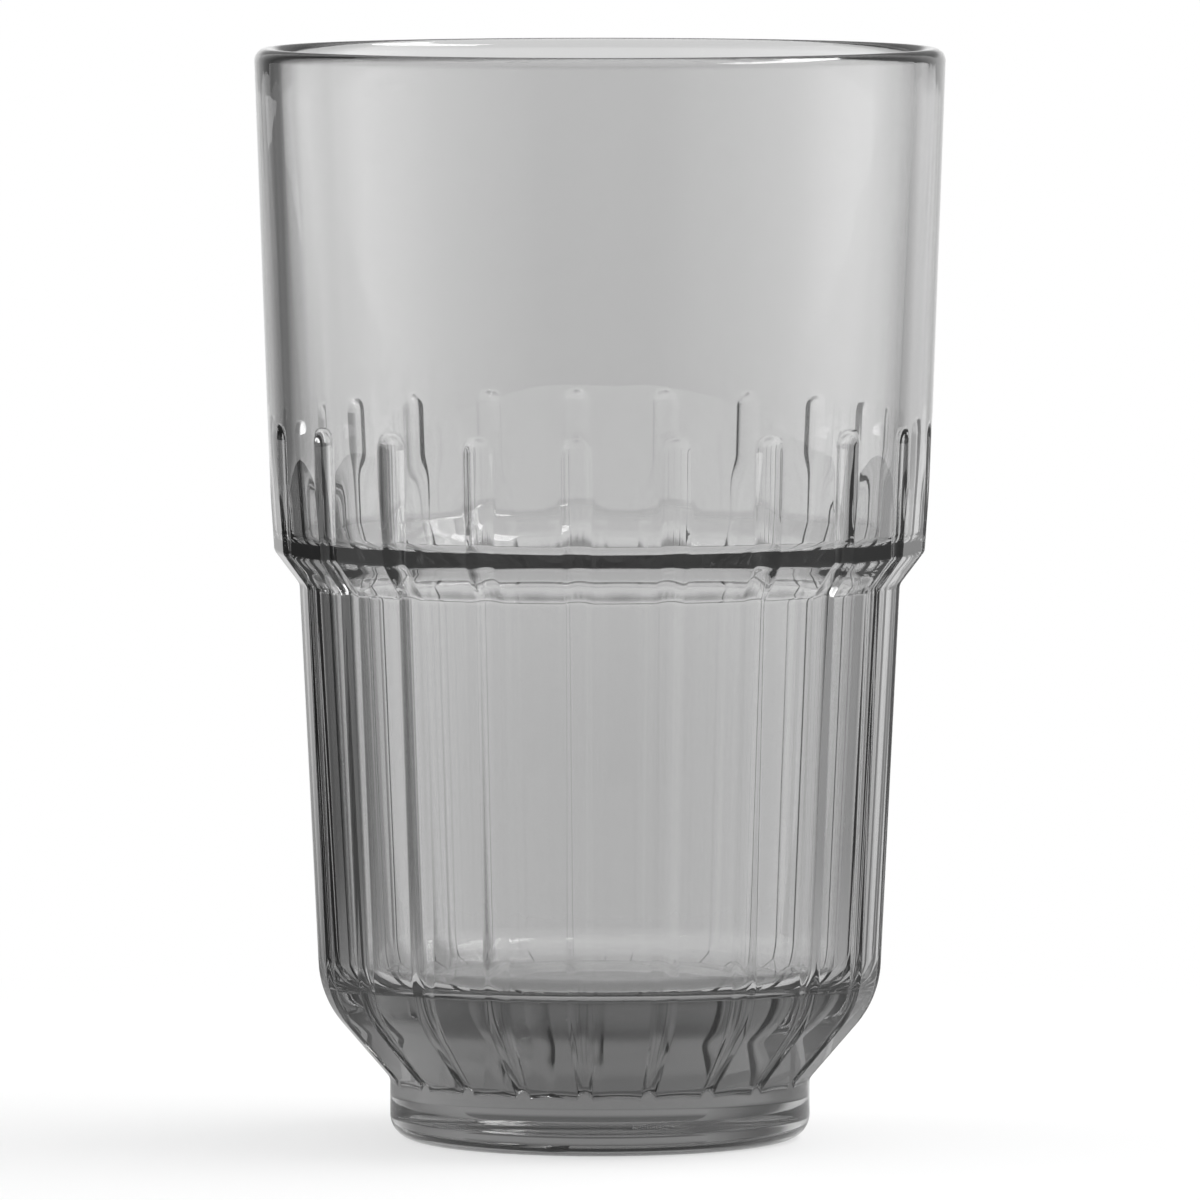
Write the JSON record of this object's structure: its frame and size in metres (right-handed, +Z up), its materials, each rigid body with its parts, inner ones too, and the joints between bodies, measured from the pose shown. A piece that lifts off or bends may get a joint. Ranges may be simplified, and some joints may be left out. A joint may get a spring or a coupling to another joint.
{
  "type": "highball glass",
  "caption": "Tall pressed-glass highball with a round mouth, fluted flat-panelled body, a step at mid height and a round foot.",
  "frame": {"origin": "centre of the foot's resting plane, on the glass's axis", "axes": "+Z up along the axis, towards the mouth; one flute is centred on -Y"},
  "size_m": [0.0854, 0.0854, 0.135],
  "materials": {
    "smoke_glass": "fire-polished smoke-grey pressed glass, clear and glossy inside and out"
  },
  "bodies": {
    "root": {"tumbler": "smoke_glass"}
  },
  "joints": []
}
